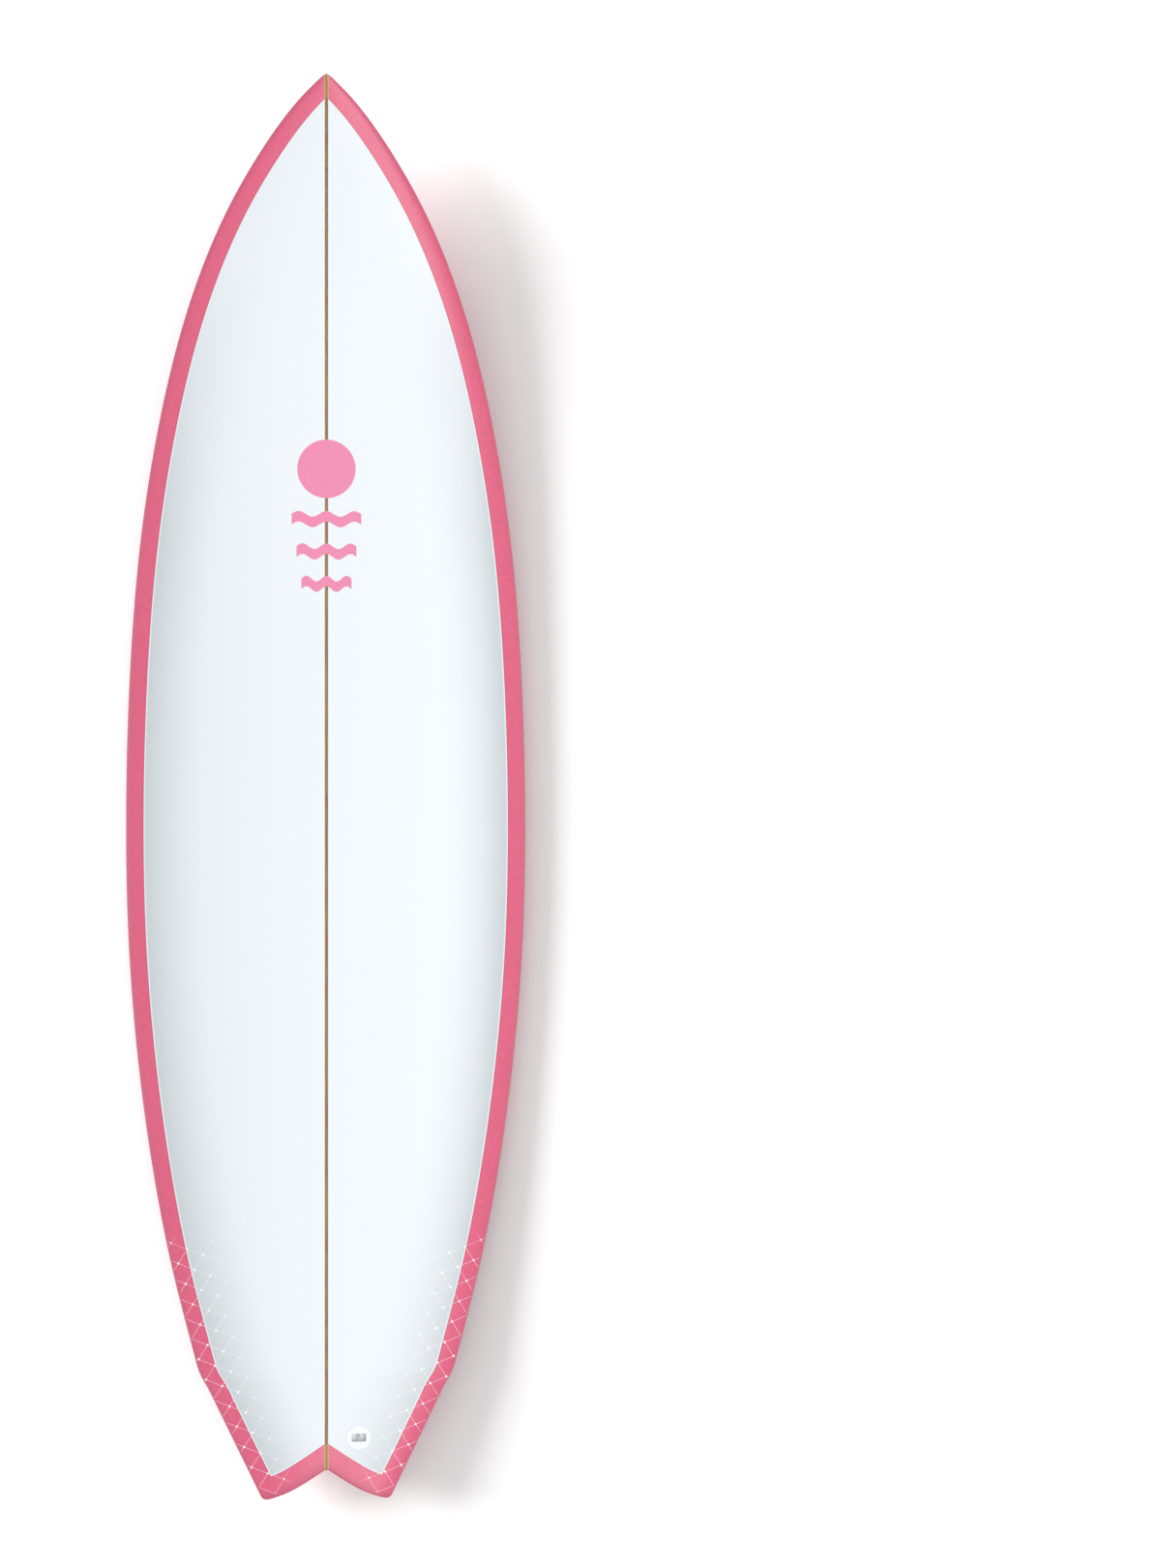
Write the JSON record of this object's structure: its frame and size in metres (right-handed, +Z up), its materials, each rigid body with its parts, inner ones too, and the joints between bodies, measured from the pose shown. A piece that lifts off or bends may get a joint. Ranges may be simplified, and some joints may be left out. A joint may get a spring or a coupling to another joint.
{
  "type": "shortboard surfboard",
  "caption": "Pointed shortboard with a wing, a swallow tail, a tinted bottom with a cut lap on the deck, single-slot fin boxes and a leash plug.",
  "frame": {"origin": "under the middle of the board, at the height of the lowest point of its bottom", "axes": "+Y to the nose, +Z up through the deck, +X to the right side seen from the deck"},
  "size_m": [0.4986, 1.7492, 0.1405],
  "materials": {
    "foam": "shaped and sanded polyurethane foam",
    "stringer_wood": "planed light wood",
    "glue": "pale glue",
    "pink_glass": "pink tinted glass and resin, sanded to a satin",
    "clear_glass": "clear glass and resin over white foam, sanded to a satin",
    "net_bottom": "open fibre net under the tinted glass",
    "net_deck": "open fibre net under the clear glass",
    "pink_print": "printed tissue under the glass",
    "white_print": "printed tissue under the glass",
    "black_print": "printed tissue under the glass",
    "fin_box_plastic": "moulded plastic, sanded flush",
    "box_resin": "clear casting resin with a faint cyan tint",
    "screw_steel": "stainless steel",
    "plug_plastic": "moulded off-white plastic",
    "pin_steel": "stainless steel"
  },
  "bodies": {
    "board": {"foam_core_left": "foam", "foam_core_right": "foam", "stringer": "stringer_wood", "glue_line_left": "glue", "glue_line_right": "glue", "bottom_laminate": "pink_glass", "deck_laminate": "clear_glass", "tail_net_bottom_left": "net_bottom", "tail_net_bottom_right": "net_bottom", "tail_net_deck_left": "net_deck", "tail_net_deck_right": "net_deck", "deck_graphic": "pink_print", "bottom_graphic": "white_print", "round_graphic": "white_print", "bars_graphic": "black_print", "fin_box_left": "fin_box_plastic", "fin_box_resin_left": "box_resin", "fin_box_right": "fin_box_plastic", "fin_box_resin_right": "box_resin", "fin_box_centre": "fin_box_plastic", "fin_box_resin_centre": "box_resin", "leash_cup": "plug_plastic", "leash_pin": "pin_steel", "leash_resin": "box_resin"},
    "screw_left": {"fin_screw_left": "screw_steel"},
    "screw_right": {"fin_screw_right": "screw_steel"},
    "screw_centre": {"fin_screw_centre": "screw_steel"}
  },
  "joints": [
    {"name": "fin_screw_left_turn", "type": "hinge", "parent": "board", "child": "screw_left", "pos_m": [-0.14228, -0.5305, 0.02409], "axis": [-0.0148, -0.5688, 0.8223], "range_deg": [0, 1080]},
    {"name": "fin_screw_right_turn", "type": "hinge", "parent": "board", "child": "screw_right", "pos_m": [0.14228, -0.5305, 0.02409], "axis": [0.0148, -0.5688, 0.8223], "range_deg": [0, 1080]},
    {"name": "fin_screw_centre_turn", "type": "hinge", "parent": "board", "child": "screw_centre", "pos_m": [0, -0.68301, 0.04061], "axis": [0, -0.545, 0.8384], "range_deg": [0, 1080]}
  ]
}
